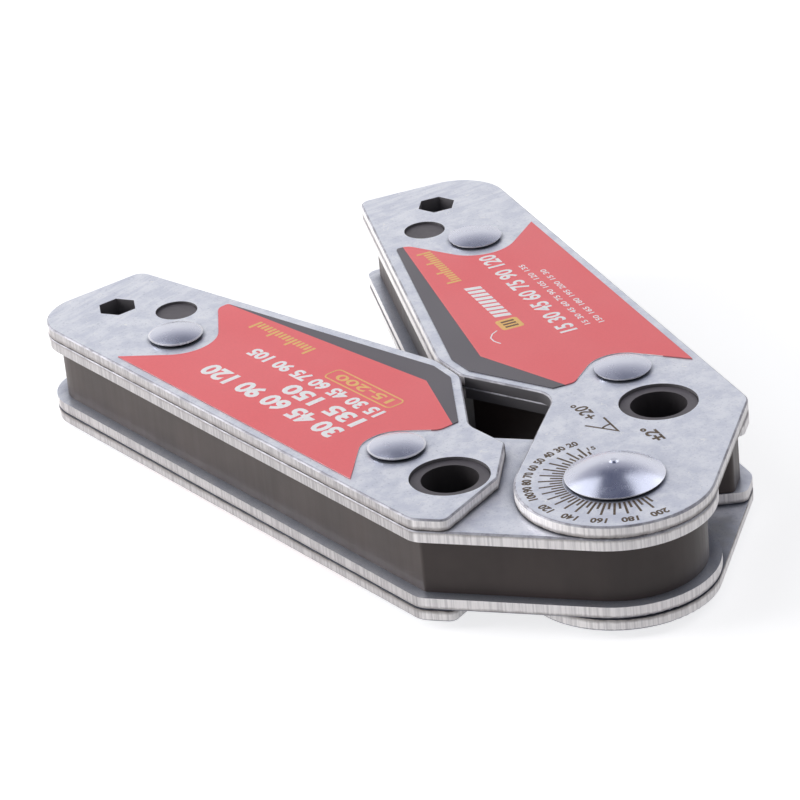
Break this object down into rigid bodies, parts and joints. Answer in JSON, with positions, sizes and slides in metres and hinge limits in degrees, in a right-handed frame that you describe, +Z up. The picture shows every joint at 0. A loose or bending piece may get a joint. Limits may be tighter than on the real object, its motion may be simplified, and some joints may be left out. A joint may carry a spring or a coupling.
{
  "type": "welding magnet holder",
  "caption": "Adjustable magnetic holder whose hinged steel-plate arms grip two workpieces at a set angle for tacking and welding.",
  "frame": {"origin": "on the pivot axis, at the surface the tool lies on: the flat tail of the pivot rivet", "axes": "+X halfway between the closed arms towards their tips, +Y towards the inner arm, +Z up along the pivot axis"},
  "size_m": [0.1323, 0.0882, 0.0223],
  "materials": {
    "plate_steel": "satin zinc-plated sheet steel with bright sheared edges",
    "rivet_steel": "polished plated steel rivets",
    "moulded_plastic": "satin dark brownish-grey moulded plastic",
    "ferrite": "matt black magnet block, hidden",
    "label_film": "red printed film with a grey band along the inner edge"
  },
  "bodies": {
    "inner_arm": {"inner_arm_core": "moulded_plastic", "inner_arm_heel_magnet": "ferrite", "inner_arm_tip_magnet": "ferrite", "inner_arm_inner_plate_top": "plate_steel", "inner_arm_inner_plate_bottom": "plate_steel", "inner_arm_outer_plate_top": "plate_steel", "inner_arm_outer_plate_bottom": "plate_steel", "inner_arm_heel_rivet": "rivet_steel", "inner_arm_tip_rivet": "rivet_steel", "inner_arm_bore_sleeve": "moulded_plastic", "inner_arm_locating_peg": "moulded_plastic", "inner_arm_label_top": "label_film", "inner_arm_label_bottom": "label_film", "inner_arm_pivot_bush": "rivet_steel"},
    "outer_arm": {"outer_arm_core": "moulded_plastic", "outer_arm_heel_magnet": "ferrite", "outer_arm_tip_magnet": "ferrite", "outer_arm_inner_plate_top": "plate_steel", "outer_arm_inner_plate_bottom": "plate_steel", "outer_arm_outer_plate_top": "plate_steel", "outer_arm_outer_plate_bottom": "plate_steel", "outer_arm_heel_rivet": "rivet_steel", "outer_arm_tip_rivet": "rivet_steel", "outer_arm_bore_sleeve": "moulded_plastic", "outer_arm_locating_peg": "moulded_plastic", "outer_arm_label_top": "label_film", "outer_arm_label_bottom": "label_film", "pivot_rivet": "rivet_steel"}
  },
  "joints": [
    {"name": "arm_pivot", "type": "hinge", "parent": "inner_arm", "child": "outer_arm", "pos_m": [0, 0, 0.0102], "axis": [0, 0, -1], "range_deg": [0, 184.2]}
  ]
}
